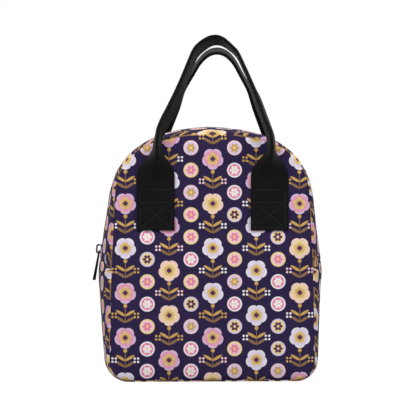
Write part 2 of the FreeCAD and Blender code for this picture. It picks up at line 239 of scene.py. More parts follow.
# the zip lies in a groove, at the depth where the frame's slider runs
def zipGroove():
    band = nodes["front_band_cloth"]
    corners = [band.matrix_world @ v.co for v in band.data.vertices]
    tree = BVHTree.FromPolygons(corners, [tuple(p.vertices) for p in band.data.polygons])
    points, normals = outline(bowShare(slotEdge))
    drop = np.zeros(outlineCount)
    for column in zipColumns:
        out = Vector((normals[column][0], 0, normals[column][1]))
        place = Vector((points[column][0], -slotEdge - bodyShape["probeInset"], points[column][1]))
        hit = tree.ray_cast(place + out * bodyShape["grooveProbe"], -out)[0]
        drop[column] = np.clip((place - hit).dot(out), 0, bodyShape["grooveMost"]) if hit else 0.0
    first, last = zipColumns[[0, -1]]
    drop[first], drop[last] = drop[first + 1], drop[last - 1]
    below = (1 - smooth((foldZ - points[:, 1]) / bodyShape["grooveFade"])) * (points[:, 1] < foldZ)
    below[zipColumns] = 0
    return drop + below * drop[first]


def grooveShare(y):
    return 1 - smooth((abs(y) - slotEdge - bodyShape["grooveFlat"]) / bodyShape["grooveFade"])


zipDrop = zipGroove()

# the cloth swells between its seams and the sewn straps: a short cloth run on a flat grid
# of each wall gives how far every point stands out
swellShape = {
    "cell": 0.005,
    "panel": {"pressure": 0.9, "cap": 0.0030},
    "gusset": {"pressure": 0.9, "cap": 0.0009},
    "slack": 0.003,  # cloth cut a little larger than its foam
    "frames": 20,
    "heldPanel": 0.0035,  # how much of each edge is held
    "heldSeam": 0.002,
    "heldEnd": 0.004,
    "heldHem": 0.006,
    "heldBase": 0.010,
}


def gridWeights(t):
    # cubic weights over four neighbours
    second, third = 3 * t ** 3 - 6 * t ** 2 + 4, -3 * t ** 3 + 3 * t ** 2 + 3 * t + 1
    return (1 - t) ** 3 / 6, second / 6, third / 6, t ** 3 / 6


def swollen(spanX, spanY, held, shape):
    counts = [int(round((span[1] - span[0]) / swellShape["cell"])) + 1 for span in (spanX, spanY)]
    xs, ys = np.linspace(*spanX, counts[0]), np.linspace(*spanY, counts[1])
    heights = np.zeros((counts[1], counts[0]))
    heights = clothRun(xs, ys, held, shape)

    def swell(x, y):
        x, y = np.broadcast_arrays(np.asarray(x, float), np.asarray(y, float))
        placeX = np.clip((x - xs[0]) / (xs[1] - xs[0]), 0, counts[0] - 1)
        placeY = np.clip((y - ys[0]) / (ys[1] - ys[0]), 0, counts[1] - 1)
        cellX, cellY = np.floor(placeX).astype(int), np.floor(placeY).astype(int)
        found = np.zeros(x.shape)
        for j, weightY in enumerate(gridWeights(placeY - cellY)):
            row = np.clip(cellY + j - 1, 0, counts[1] - 1)
            for i, weightX in enumerate(gridWeights(placeX - cellX)):
                found += weightX * weightY * heights[row, np.clip(cellX + i - 1, 0, counts[0] - 1)]
        return found

    return swell


def clothRun(xs, ys, held, shape):
    gridX, gridY = np.meshgrid(xs, ys)
    rows, cols = gridX.shape
    mesh = bpy.data.meshes.new("settling")
    places = [(x, y, 0) for x, y in zip(gridX.ravel(), gridY.ravel())]
    mesh.from_pydata(places, [], gridFaces(0, rows, cols))
    settling = linked("settling", mesh)
    pins = settling.vertex_groups.new(name="held")
    pins.add([int(i) for i in np.flatnonzero(held(gridX.ravel(), gridY.ravel()))], 1.0, "REPLACE")
    cloth = settling.modifiers.new("settle", "CLOTH")
    cloth.settings.quality = 6
    cloth.settings.vertex_group_mass = "held"
    cloth.settings.use_pressure = True
    cloth.settings.uniform_pressure_force = shape["pressure"]
    cloth.settings.shrink_min = -swellShape["slack"]
    cloth.settings.effector_weights.gravity = 0
    cloth.collision_settings.use_collision = False
    cloth.point_cache.frame_start, cloth.point_cache.frame_end = 1, swellShape["frames"]
    for step in range(1, swellShape["frames"] + 1):
        scene.frame_set(step)
    settled = settling.evaluated_get(bpy.context.evaluated_depsgraph_get())
    places = np.zeros(3 * rows * cols)
    settled.data.vertices.foreach_get("co", places)
    heights = places[2::3].reshape(rows, cols)
    print("cloth settled, highest point %.1f mm" % (heights.max() * 1000))
    bpy.data.objects.remove(settling)
    bpy.data.meshes.remove(mesh)
    scene.frame_set(1)
    return shape["cap"] * np.tanh(heights / shape["cap"])


# mesh building
def meshObject(name, verts, faces, uvs, sharp=38):
    mesh = bpy.data.meshes.new(name)
    mesh.from_pydata([tuple(v) for v in verts], [], faces)
    layer = mesh.uv_layers.new(name="clothMap")
    corners = np.zeros(len(mesh.loops), np.int32)
    mesh.loops.foreach_get("vertex_index", corners)
    layer.uv.foreach_set("vector", np.asarray(uvs, np.float32)[corners].ravel())
    shell = bmesh.new()
    shell.from_mesh(mesh)
    bmesh.ops.remove_doubles(shell, verts=shell.verts, dist=1e-6)
    bmesh.ops.dissolve_degenerate(shell, edges=shell.edges, dist=1e-7)
    bmesh.ops.recalc_face_normals(shell, faces=shell.faces)
    shell.to_mesh(mesh)
    shell.free()
    mesh.polygons.foreach_set("use_smooth", [True] * len(mesh.polygons))
    mesh.set_sharp_from_angle(angle=radians(sharp))
    return linked(name, mesh)


def gridFaces(first, rows, cols, wrap=False):
    corners = [(first + r * cols + c, first + r * cols + (c + 1) % cols)
               for r in range(rows - 1) for c in range(cols if wrap else cols - 1)]
    return [(a, b, b + cols, a + cols) for a, b in corners]


def sheetFaces(rows, cols, wrap=False, rims=(True, True)):
    # outer grid, inner grid and the rims that close them
    half = rows * cols
    faces = []
    for a, b, c, d in gridFaces(0, rows, cols, wrap):
        faces += [(a, b, c, d), (half + a, half + d, half + c, half + b)]
    for first, wanted in zip((0, half - cols), rims):
        rim = gridFaces(first, 2, cols, wrap) if wanted else []
        faces += [(a, half + a, half + b, b) for a, b, _, _ in rim]
    for first in () if wrap else (0, cols - 1):
        faces += [(a, a + cols, half + a + cols, half + a) for a in range(first, half - cols, cols)]
    return faces


def closedSheet(name, outer, inner, uv, wrap=False, rims=(True, True)):
    outer, inner, uv = np.array(outer), np.array(inner), np.array(uv).reshape(-1, 2)
    rows, cols = outer.shape[:2]
    verts = np.concatenate([outer.reshape(-1, 3), inner.reshape(-1, 3)])
    return meshObject(name, verts, sheetFaces(rows, cols, wrap, rims), np.concatenate([uv, uv]))


def tubeFaces(first, rings, sides):
    # rings from the first vertex on, capped at both ends
    last = first + (rings - 1) * sides
    caps = [tuple(range(start, start + sides)) for start in (first, last)]
    return gridFaces(first, rings, sides, wrap=True) + caps


# printed cloth: five-petalled blossoms, ringed discs and gold sprigs in staggered columns
printShape = {
    "columnPitch": 0.044,
    "rowPitch": 0.045,
    "blossom": 0.0108,
    "heart": 0.58,  # inner petals and eye, as shares of the blossom
    "eye": 0.24,
    "disc": 0.0075,
    "discField": 0.80,  # shares of the disc
    "discStar": 0.62,
    "discEye": 0.17,
    "leafLength": 0.0046,
    "leafWidth": 0.0016,
    "leafSlope": 0.55,
    "leafHigh": 0.0022,
    "leafLow": -0.0042,
    "stemWidth": 0.0004,
    "stemLength": 0.0078,
    "seed": 0.00115,
    "seedOut": 0.0112,
    "seedGap": 0.0017,
    "bud": 0.0019,
    "budHeight": 0.0095,
    "ground": linear(46, 36, 70),
    "cream": linear(238, 214, 150),
    "pink": linear(232, 133, 160),
    "blush": linear(243, 205, 214),
    "lavender": linear(214, 200, 232),
    "white": linear(240, 234, 238),
    "gold": linear(206, 164, 92),
    "bronze": linear(140, 108, 74),
    "plum": linear(92, 52, 88),
    "weavePitch": 0.0006,
}
# whole repeats of the print round the gusset
printFit = round(runLength[-1] / printShape["rowPitch"]) * printShape["rowPitch"] / runLength[-1]


# gusset layers follow the outline at each depth
def gussetSheet(name, columns, depths, inset, thickness, lift=None, swell=None):
    outer, inner, uv = [], [], []
    floorGap = layerShape["floorGap"]
    for y in depths:
        points, normals = [part[columns] for part in outline(bowShare(y))]
        along = np.where(columns < 0, runLength[columns] - runLength[-1], runLength[columns])
        climb = (np.where(columns[0] < 0, 0.0, runLength[-1]) - along) * printFit
        height = lift(normals, along, y) if lift else 0.0
        height = height - inset - zipDrop[columns] * grooveShare(y)
        if swell:
            height = height + swell(along, y)
        for made, depth, floor in ((outer, 0, floorGap), (inner, thickness, 3 * floorGap)):
            skin = atDepth(points + normals * (height - depth)[:, None], y)
            made.append(np.maximum(skin, (-1, -1, floor)))
        uv.append(np.stack([np.full(len(points), y) + printShape["columnPitch"] / 2, climb], 1))
    return closedSheet(name, outer, inner, uv)


def clothLift(normals, along, y):
    b = bodyShape
    fromSeam = halfDepth - b["seamRoll"] - abs(y)
    roll = b["seamRoll"] * exp(-fromSeam / b["rollWidth"])
    places = [(a, y, 0.0) for a in along]
    dents = b["dent"] * cloud(places, b["dentScale"], 1) * smooth(fromSeam / b["dentFade"])
    waves = np.sin(2 * pi * along / b["puckerLength"] + 5 * cloud(places, b["waveScale"], 2))
    gathers = b["pucker"] * waves * (0.5 + cloud(places, b["gatherScale"], 3))
    gathers *= smooth(fromSeam / b["puckerStart"]) * exp(-fromSeam / b["puckerFade"])
    return dents + gathers - roll


def calmLift(normals, along, y):
    lift = clothLift(normals, along, y)
    lift[normals[:, 1] < -0.9] *= bodyShape["baseCalm"]
    return lift


def lowerLift(normals, along, y):
    lift = calmLift(normals, along, y)
    lift[[0, 1, -2, -1]] = bodyShape["lip"]
    lift[[2, -3]] += bodyShape["lip"]
    return lift


def bandLift(normals, along, y):
    dip = bodyShape["hemDip"] * (1 - smooth((abs(y) - slotEdge) / bodyShape["hemWidth"]))
    return clothLift(normals, along, y) - dip


def foamLift(normals, along, y):
    return np.minimum(calmLift(normals, along, y), 0)


def foilLift(normals, along, y):
    places = [(a, y, 0.1) for a in along]
    fine, wide = [depth * np.abs(cloud(places, scale, seed)) for (depth, scale), seed in
                  ((layerShape["fineCrease"], 4), (layerShape["wideCrease"], 5))]
    return -fine - wide


seamSteps = np.array([0, 0.0003, 0.0007, 0.0012, 0.0018, 0.0026, 0.0038, 0.0055, 0.008, 0.0115])
seamReach = 0.0155  # first row past the close ones


def seamRows(near, far, count):
    # rows of a strip from its near edge to the seam, closest at the seam
    return np.concatenate([np.linspace(near, far - seamReach, count), (far - seamSteps)[::-1]])


# front and back panels: rings from the seam to the middle
panelShape = {
    "rise": 0.0012,
    "riseWidth": 0.016,
    "ringSpan": 0.092,
    "rings": 26,
    "dent": 0.0007,
    "dentScale": 20,
    "dentFade": 0.03,
    "crease": 0.0012,  # in the lining
    "creaseFade": 0.01,
    "coreLow": 0.085,
    "coreHigh": 0.165,
    "strapEase": 0.0005,  # cloth held flat past the straps
    "strapFade": 0.010,
}
webHalf = 0.019  # half the width of the webbing
endLow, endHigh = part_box("front_handle_ends")
sewnX, sewnBottom, sewnTop = endHigh.x - webHalf, endLow.z, endHigh.z


def strapShare(x, z):
    # 1 under the sewn webbing and the strap above it
    aside = np.maximum(np.abs(np.abs(x) - sewnX) - webHalf - panelShape["strapEase"], 0)
    below = np.maximum(sewnBottom - panelShape["strapEase"] - z, 0)
    return 1 - smooth(np.hypot(aside, below) / panelShape["strapFade"])


def panelHeld(x, z):
    outX, outZ = seamNormals.T
    gaps = (seamPoints[:, 0] - x[:, None]) * outX + (seamPoints[:, 1] - z[:, None]) * outZ
    return (gaps.min(1) < swellShape["heldPanel"]) | (strapShare(x, z) > 0.5)


def panelSheet(name, side, layer, inset, thickness, edge):
    p = panelShape
    border = seamPoints - seamNormals * edge
    core = np.stack([np.zeros(outlineCount), np.clip(seamPoints[:, 1], p["coreLow"], p["coreHigh"])], 1)
    outer, inner, uv = [], [], []
    for distance in np.concatenate([seamSteps, np.linspace(seamReach, p["ringSpan"], p["rings"])]):
        flat = border + (core - border) * (distance / p["ringSpan"])
        x, z = flat.T
        free = 1 - strapShare(x, z)
        rise = panelSwell(-side * x, z) * free
        if layer == "cloth":
            places = [(a, b, 0.7 + side) for a, b in flat]
            rise += p["rise"] * smooth(distance / p["riseWidth"]) * free
            rise += p["dent"] * cloud(places, p["dentScale"], 6) * smooth(distance / p["dentFade"]) * free
            rise -= bodyShape["seamRoll"] * exp(-distance / bodyShape["rollWidth"])
        elif layer == "lining":
            places = [(a, b, 1.7 + side) for a, b in flat]
            creases = np.abs(cloud(places, p["dentScale"], 7))
            rise -= p["crease"] * creases * smooth(distance / p["creaseFade"])
        y = halfDepth - inset + rise
        outer.append(np.stack([x, side * y, z], 1))
        inner.append(np.stack([x, side * (y - thickness), z], 1))
        uv.append(np.stack([-side * x, z], 1))
    return closedSheet(name, outer, inner, uv, wrap=True, rims=(True, False))


# node material helpers
atWork = {"tree": None, "shader": None}  # what the helpers below add to


def newMaterial(name, **sockets):
    material = bpy.data.materials.new(name)
    material.use_nodes = True
    atWork["tree"] = material.node_tree
    atWork["shader"] = material.node_tree.nodes["Principled BSDF"]
    for key, value in sockets.items():
        atWork["shader"].inputs[key.replace("_", " ")].default_value = value
    return material


def plug(value, socket):
    if isinstance(value, bpy.types.NodeSocket):
        atWork["tree"].links.new(value, socket)
    else:
        socket.default_value = value


def addNode(kind, inputs=None, **settings):
    node = atWork["tree"].nodes.new("ShaderNode" + kind)
    for key, value in settings.items():
        setattr(node, key, value)
    for key, value in (inputs or {}).items():
        plug(value, node.inputs[key])
    return node


def calc(operation, *values):
    return addNode("Math", dict(enumerate(values)), operation=operation).outputs[0]


plus, minus, times, divided, raised, absolute = [
    partial(calc, name) for name in ("ADD", "SUBTRACT", "MULTIPLY", "DIVIDE", "POWER", "ABSOLUTE")]


def squares(x, y):
    return plus(times(x, x), times(y, y))


def distanceOf(x, y):
    return calc("SQRT", squares(x, y))


def inside(value, limit, soft=0.00035):
    # 1 where the value is under the limit, with a thin soft edge
    span = {"Value": minus(limit, value), "From Min": -soft / 2, "From Max": soft / 2}
    return addNode("MapRange", span, clamp=True).outputs[0]


def ranged(value, low, high):
    return addNode("MapRange", {"Value": value, "To Min": low, "To Max": high}).outputs[0]


def layColour(share, under, over):
    return addNode("Mix", {"Factor": share, 6: under, 7: over}, data_type="RGBA").outputs[2]


def scaled(colour, low, high, factor):
    # brightness moved between low and high by a factor socket
    return addNode("HueSaturation", {"Color": colour, "Value": ranged(factor, low, high)}).outputs[0]


def clothCoordinates():
    place = addNode("UVMap", uv_map="clothMap").outputs[0]
    parts = addNode("SeparateXYZ", {0: place}).outputs
    return place, parts[0], parts[1]


def noiseOf(vector, scale, detail=3.0):
    return addNode("TexNoise", {"Vector": vector, "Scale": scale, "Detail": detail}).outputs[0]


def ribs(value, pitch):
    # 0 to 1 and back once in each pitch
    turned = calc("SINE", times(value, 2 * pi / pitch))
    return calc("MULTIPLY_ADD", turned, 0.5, 0.5)


def coat(colour, height, distance, strength=1.0, rough=None):
    sockets = atWork["shader"].inputs
    bump = addNode("Bump", {"Height": height, "Distance": distance, "Strength": strength})
    plug(colour, sockets["Base Color"])
    plug(bump.outputs[0], sockets["Normal"])
    if rough:
        plug(rough, sockets["Roughness"])


def repeatCell(u, v, width, height, shiftU, shiftV, drop):
    # place inside a repeat, its polar form and a random value for each repeat
    column = divided(minus(u, shiftU - width / 2), width)
    whole = calc("FLOOR", column)
    row = divided(minus(v, shiftV - height / 2), height)
    row = plus(row, times(calc("PINGPONG", whole, 1.0), drop))
    x, y = [times(minus(calc("FRACT", part), 0.5), size)
            for part, size in ((column, width), (row, height))]
    where = addNode("CombineXYZ", {0: whole, 1: calc("FLOOR", row)}).outputs[0]
    chance = addNode("TexWhiteNoise", {"Vector": where}, noise_dimensions="2D")
    return x, y, distanceOf(x, y), calc("ARCTAN2", y, x), chance.outputs["Value"]


def petals(angle, count, turn, radius, depth):
    # limit radius of a ring of round petals
    lobes = absolute(calc("COSINE", calc("MULTIPLY_ADD", angle, count / 2, turn)))
    return calc("MULTIPLY_ADD", calc("SQRT", lobes), radius * depth, radius * (1 - depth))


def pickColour(chance, colours):
    ramp = addNode("ValToRGB", {0: chance})
    ramp.color_ramp.interpolation = "CONSTANT"
    for _ in colours[2:]:
        ramp.color_ramp.elements.new(1.0)
    for i, colour in enumerate(colours):
        ramp.color_ramp.elements[i].position = i / len(colours)
        ramp.color_ramp.elements[i].color = colour
    return ramp.outputs[0]


def printColour(u, v):
    p = printShape
    pitchX, pitchY = p["columnPitch"], p["rowPitch"]
    colour = p["ground"]

    def lay(share, over):
        nonlocal colour
        colour = layColour(share, colour, over)

    def pick(*names):
        return pickColour(chance, [p[name] for name in names])

    def disc(limit):
        return inside(radius, limit)

    def flower(count, turn, size, depth):
        return disc(petals(angle, count, turn, size, depth))

    # sprigs: two pairs of leaves on a stem with a bud, and seeds at both sides
    x, y, radius, angle, chance = repeatCell(u, v, pitchX, pitchY, 0, pitchY / 2, 0.5)
    across, upDown = absolute(x), absolute(y)
    leafX = minus(across, p["leafLength"])
    slope = times(leafX, p["leafSlope"])
    for height, shade in (("leafHigh", "gold"), ("leafLow", "bronze")):
        leafY = minus(minus(y, p[height]), slope)
        long, wide = divided(leafX, p["leafLength"]), divided(leafY, p["leafWidth"])
        lay(inside(squares(long, wide), 1.0, 0.3), p[shade])
    thin, short = inside(across, p["stemWidth"]), inside(upDown, p["stemLength"])
    lay(times(thin, short), p["bronze"])
    seedX = absolute(minus(across, p["seedOut"]))
    seed = distanceOf(*[minus(value, p["seedGap"]) for value in (seedX, upDown)])
    lay(inside(seed, p["seed"]), pick("gold", "white", "blush"))
    bud = distanceOf(x, minus(y, p["budHeight"]))
    lay(inside(bud, p["bud"]), p["gold"])
    # discs with a pale rim, a star and an eye
    x, y, radius, angle, chance = repeatCell(u, v, pitchX, pitchY / 2, pitchX / 2, pitchY / 4, 0)
    size = p["disc"]
    lay(disc(size), pick("cream", "white", "lavender", "blush"))
    lay(disc(size * p["discField"]), pick("blush", "pink", "cream", "lavender"))
    lay(flower(6, 0.0, size * p["discStar"], 0.55), pick("pink", "white", "plum", "gold"))
    lay(disc(size * p["discEye"]), p["cream"])
    # blossoms in two rings of petals
    x, y, radius, angle, chance = repeatCell(u, v, pitchX, pitchY, 0, 0, 0.5)
    size = p["blossom"]
    fade = divided(radius, size)
    heart, tips = pick("pink", "lavender", "cream"), pick("lavender", "white", "blush")
    lay(flower(5, pi / 4, size, 0.22), layColour(raised(fade, 3.0), heart, tips))
    glow = raised(times(fade, 1.6), 2.0)
    lay(flower(5, pi * 3 / 4, size * p["heart"], 0.30), layColour(glow, p["gold"], p["cream"]))
    lay(flower(4, 0.0, size * p["eye"], 0.35), p["plum"])
    return colour


def makePrintedCloth():
    material = newMaterial("printedCloth", Specular_IOR_Level=0.06)
    place, u, v = clothCoordinates()
    weave = times(*[ribs(value, printShape["weavePitch"]) for value in (u, v)])
    cloudy = noiseOf(place, 55.0)
    colour = scaled(printColour(u, v), 0.90, 1.06, cloudy)
    # painted shade and highlight: the print is darkened in the weave's hollows and lightened on its raised
    # threads, following the bump height
    colour = scaled(colour, 0.95, 1.04, weave)
    coat(colour, weave, 0.00012, 0.6, ranged(cloudy, 0.70, 0.86))
    return material


def makeWoven(name, tone, ribHighlightTone, acrossPitch, alongPitch, bump, rough, gloss, sheen):
    material = newMaterial(name, Roughness=rough, Specular_IOR_Level=gloss,
                           Sheen_Weight=sheen, Sheen_Roughness=0.45)
    place, u, v = clothCoordinates()
    across = ribs(u, acrossPitch)
    stagger = times(calc("ROUND", across), alongPitch / 2)
    along = ribs(plus(v, stagger), alongPitch)
    weave = times(raised(across, 0.5), along)
    # painted shade and highlight: the colour runs from the dark tone in the weave's hollows to the light
    # tone on its raised ribs, following the bump height
    colour = layColour(weave, linear(*tone), linear(*ribHighlightTone))
    coat(scaled(colour, 0.75, 1.25, noiseOf(place, 90.0)), weave, bump)
    return material


def makeFoil():
    material = newMaterial("foilLining", Metallic=0.85)
    place = clothCoordinates()[0]
    creases = addNode("TexVoronoi", {"Scale": 38.0, "Vector": place}, feature="DISTANCE_TO_EDGE")
    fine = noiseOf(place, 160.0, 4.0)
    folds = raised(creases.outputs["Distance"], 0.4)
    height = plus(folds, times(fine, 0.25))
    colour = layColour(fine, linear(176, 178, 182), linear(222, 224, 228))
    coat(colour, height, 0.0012, 0.7, ranged(fine, 0.22, 0.46))
    return material


def makeFoam():
    material = newMaterial("wallFoam", Roughness=0.9)
    cells = addNode("TexVoronoi", {"Scale": 700.0, "Vector": clothCoordinates()[0]}).outputs["Distance"]
    # painted shade: the foam is darker in the pits of its cells, following the bump height
    coat(layColour(cells, linear(206, 206, 202), linear(236, 236, 232)), cells, 0.0004)
    return material


def makeScuffed(name, tone, wornTone, low, high, scale, **sockets):
    # hard black finish with faint scuffs: zip teeth, slider and pull
    material = newMaterial(name, **sockets)
    marks = noiseOf(addNode("TexCoord").outputs["Object"], scale, 6.0)
    colour = layColour(raised(marks, 4.0), linear(*tone), linear(*wornTone))
    coat(colour, marks, 0.00006, rough=ranged(marks, low, high))
    return material


# ribbed narrow fabrics: tone with painted shade for the rib hollows, lighter tone as a painted highlight on
# the raised ribs, rib pitch across and along, bump, roughness, gloss and sheen
wovenShape = {
    "webbing": ((5, 5, 5), (22, 22, 23), 0.0019, 0.0012, 0.00035, 0.6, 0.06, 0.06),
    "bindingTape": ((12, 12, 14), (36, 36, 40), 0.0010, 0.0008, 0.0002, 0.7, 0.10, 0),
    "zipTapeCloth": ((14, 13, 17), (36, 35, 40), 0.0011, 0.0007, 0.00015, 0.72, 0.10, 0),
    "threadBlack": ((18, 18, 19), (46, 46, 48), 0.0004, 0.0005, 0.0001, 0.5, 0.25, 0),
    "threadNavy": ((34, 27, 54), (58, 48, 84), 0.0004, 0.0005, 0.0001, 0.5, 0.2, 0),
}
printedCloth = makePrintedCloth()
webbing, bindingTape, zipTapeCloth, threadBlack, threadNavy = [
    makeWoven(name, *values) for name, values in wovenShape.items()]
foilLining = makeFoil()
wallFoam = makeFoam()
zipTeethPlastic = makeScuffed("zipTeethPlastic", (16, 16, 18), (60, 60, 64), 0.28, 0.5, 900.0)
zipMetalBlack = makeScuffed("zipMetalBlack", (6, 6, 7), (40, 40, 42), 0.42, 0.60, 700.0,
                            Specular_IOR_Level=0.06)
print("materials made")


def dress(piece, material, slot, *replaced):
    piece.data.materials.append(material)
    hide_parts(*replaced)
    return piece


def sew(piece, inFront, material, slot, *replaced):
    # front pieces keep their place, baked into the mesh; the others ride on the bag
    dress(piece, material, slot, *replaced)
    if inFront:
        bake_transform(piece)
    else:
        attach(piece, "bag_body")
    return piece


# walls of the tote, three layers each
wallLooks = {
    "foam": (wallFoam, "foam", foamLift, foamLift),
    "cloth": (printedCloth, "printed_cloth", lowerLift, bandLift),
    "lining": (foilLining, "foil_lining", foilLift, foilLift),
}
seamX, seamZ = seamPoints.T
panelFlat = (2 * bodyShape["seam"]["halfWidth"] + layerShape["seamTake"], bodyShape["seam"]["top"])
archLength = runLength[zipColumns[-1]] - runLength[zipColumns[0]]
lowerLength = runLength[-1] - archLength
lowerSpan, upperSpan = runLength[zipIndex], runLength[-1] - runLength[zipIndex]
baseSpan = runLength[runCounts["base"]] + swellShape["heldBase"]
gussetEnd = halfDepth - bodyShape["seamRoll"]
heldY = gussetEnd - swellShape["heldSeam"]


def lowerHeld(along, y):
    atEnds = (np.abs(y) > heldY) | (np.abs(along) > lowerSpan - swellShape["heldEnd"])
    return atEnds | (np.abs(along) < baseSpan)  # and where it stands on the floor


def bandHeld(along, y):
    atEnds = (along < lowerSpan + swellShape["heldEnd"]) | (along > upperSpan - swellShape["heldEnd"])
    return atEnds | (y > heldY) | (y < slotEdge + swellShape["heldHem"])


panelSwell = swollen((seamX.min(), seamX.max()), (seamZ.min(), seamZ.max()), panelHeld, swellShape["panel"])
lowerSwell = swollen((-lowerSpan, lowerSpan), (-gussetEnd, gussetEnd), lowerHeld, swellShape["gusset"])
bandFlat = swollen((lowerSpan, upperSpan), (slotEdge, gussetEnd), bandHeld, swellShape["gusset"])


def bandSwell(along, y):
    return bandFlat(along, np.abs(y))


for layer in ("foam", "cloth", "lining"):
    inset, thickness = layerShape[layer]
    material, slot, overLower, overBand = wallLooks[layer]
    isCloth = layer == "cloth"
    edge = bodyShape["seamRoll"] if isCloth else layerShape["seamAllowance"]
    end = halfDepth - edge
    near = slotEdge if isCloth else slotEdge + layerShape["hem"]
    frontPanel = panelSheet("frontPanel_" + layer, -1, layer, inset, thickness, edge)
    sew(frontPanel, True, material, slot, "front_lower_" + layer, "front_upper_" + layer)
    backPanel = panelSheet("backPanel_" + layer, 1, layer, inset, thickness, edge)
    sew(backPanel, False, material, slot, "back_panel_" + layer)

    halfRows = seamRows(layerShape["firstRow"], end, layerShape["lowerRows"])
    depths = np.concatenate([-halfRows[::-1], halfRows])
    columns = lowerColumns if isCloth else lowerColumns[1:-1]
    lowerGusset = gussetSheet("lowerGusset_" + layer, columns, depths, inset, thickness,
                              overLower, lowerSwell)
    sew(lowerGusset, False, material, slot, "lower_gusset_" + layer)

    pieces = [frontPanel, backPanel, lowerGusset]
    bandDepths = seamRows(near, end, layerShape["bandRows"])
    bandInset = max(inset, layerShape["bandFoam"]) if layer == "foam" else inset
    for band, depths in (("front", -bandDepths[::-1]), ("rear", bandDepths)):
        piece = gussetSheet(band + "Band_" + layer, zipColumns, depths, bandInset, thickness,
                            overBand, bandSwell)
        pieces.append(sew(piece, band == "front", material, slot, band + "_band_" + layer))

    bandCut = (archLength, end - near)
    cuts = (panelFlat, panelFlat, (lowerLength, 2 * end + layerShape["seamTake"]), bandCut, bandCut)
    for piece, flat in zip(pieces, cuts):
        if layer == "foam":
            continue
print("walls made")

# binding over the raw seams inside
inset, thickness = layerShape["binding"]
bindingFar = halfDepth - inset
bindingDepths = np.linspace(bindingFar - layerShape["bindingWidth"], bindingFar, layerShape["bindingRows"])


def bindingLoop(name, depths):
    outer, inner, uv = [], [], []
    for y in depths:
        points, normals = outline(bowShare(y))
        outer.append(atDepth(points - normals * inset, y))
        inner.append(atDepth(points - normals * (inset + thickness), y))
        uv.append(np.stack([np.full(len(points), y), runLength[:-1]], 1))
    return closedSheet(name, outer, inner, uv, wrap=True)


sew(bindingLoop("frontBinding", -bindingDepths), True, bindingTape, "binding",
    "front_lower_binding", "front_upper_binding")
sew(bindingLoop("backBinding", bindingDepths), False, bindingTape, "binding", "back_binding")

# zip: tapes, two rows of teeth that mesh at the mid-plane, slider and pull
zipShape = {
    "tapeInset": 0.00125,
    "tapeEdge": 0.0006,  # tapes all but meet under the teeth
    "tape": 0.0006,
    "tapeRows": 8,
    "pitch": 0.0030,
    "tipPast": 0.00045,  # how far a tooth reaches past the mid-plane
    "root": 0.0036,
    "head": 0.00068,  # half widths of a tooth
    "neck": 0.00045,
    "tip": 0.7,  # of the neck
    "headBack": 0.0007,  # from the tip to the widest place, and to the neck
    "neckBack": 0.0016,
    "height": 0.0026,
    "bevel": (0.14, 0.72),  # share of the height, and what it leaves of the width
    "margin": 0.0036,
}
tapeDepths = np.linspace(zipShape["tapeEdge"], tapeFar, zipShape["tapeRows"])
for half, depths in (("front", -tapeDepths[::-1]), ("rear", tapeDepths)):
    piece = gussetSheet(half + "ZipTape", zipColumns, depths, zipShape["tapeInset"], zipShape["tape"])
    sew(piece, half == "front", zipTapeCloth, "zip_tape", half + "_zip_tape")


def archPlaces(travel, inset):
    # points and outward normals over the arch, by distance from its right end, and its length
    points, normals = [part[zipColumns] for part in outline(1.0)]
    points = points - normals * zipDrop[zipColumns][:, None]
    lengths = lengthsAlong(points)
    travel = np.minimum(travel, lengths[-1])
    at, out = [partWay(part, lengths, travel) for part in (points, normals)]
    out = out / np.linalg.norm(out, axis=-1, keepdims=True)
    return at - out * inset, out, lengths[-1]


def toothRow(name, side, shift):
    z = zipShape
    inset = z["tapeInset"] + z["tape"] / 2
    count = int((archPlaces(np.zeros(1), inset)[2] - 2 * z["margin"]) / z["pitch"]) - 1
    places, outs, _ = archPlaces(z["margin"] + (np.arange(count) + shift) * z["pitch"], inset)
    tip, root = -z["tipPast"], z["root"]
    profile = [(z["neck"], root), (z["neck"], tip + z["neckBack"]), (z["head"], tip + z["headBack"]),
               (z["neck"] * z["tip"], tip)]
    profile += [(-a, b) for a, b in reversed(profile)]
    bevel, left = z["bevel"]
    levels = [(-0.5, left), (bevel - 0.5, 1.0), (0.5 - bevel, 1.0), (0.5, left)]
    middle = (tip + root) / 2
    verts, faces, uvs = [], [], []
    for place, out in zip(places, outs):
        along = np.array([-out[1], out[0]])
        faces += tubeFaces(len(verts), len(levels), len(profile))
        for level, scale in levels:
            for a, b in profile:
                flat = place + along * a * scale + out * level * z["height"]
                verts.append((flat[0], side * (middle + (b - middle) * mix(1, scale, 0.5)), flat[1]))
                uvs.append((a, b))
    return meshObject(name, verts, faces, uvs, sharp=30)


sew(toothRow("frontZipTeeth", -1, 0.5), True, zipTeethPlastic, "zip_teeth", "front_zip_teeth")
sew(toothRow("rearZipTeeth", 1, 1.0), False, zipTeethPlastic, "zip_teeth", "rear_zip_teeth")
stops = nodes["zip_end_stops"]
stops.data.materials.clear()
stops.data.materials.append(zipMetalBlack)

# slider and pull: the frame's castings, with a fuller bail and a longer tab that thickens downwards
castingShape = {
    "bail": 0.0006,  # added round the outside of the bail
    "bailRise": 0.0012,
    "bailHeight": 0.0042,
    "bailRound": 0.0021,
    "bailLength": 0.009,
    "bailInside": 0.75,  # of its round, left as it is
    "longer": 0.005,
    "thicker": 0.75,
    "eye": 0.0075,
}


def casting(name, node, mould):
    mesh = nodes[node].data.copy()
    mesh.transform(nodes[node].matrix_world)
    mesh.materials.clear()
    places = np.array([v.co for v in mesh.vertices])
    mesh.vertices.foreach_set("co", mould(places).ravel())
    mesh.update()
    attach(dress(linked(name, mesh), zipMetalBlack, "zip_metal", node), node)


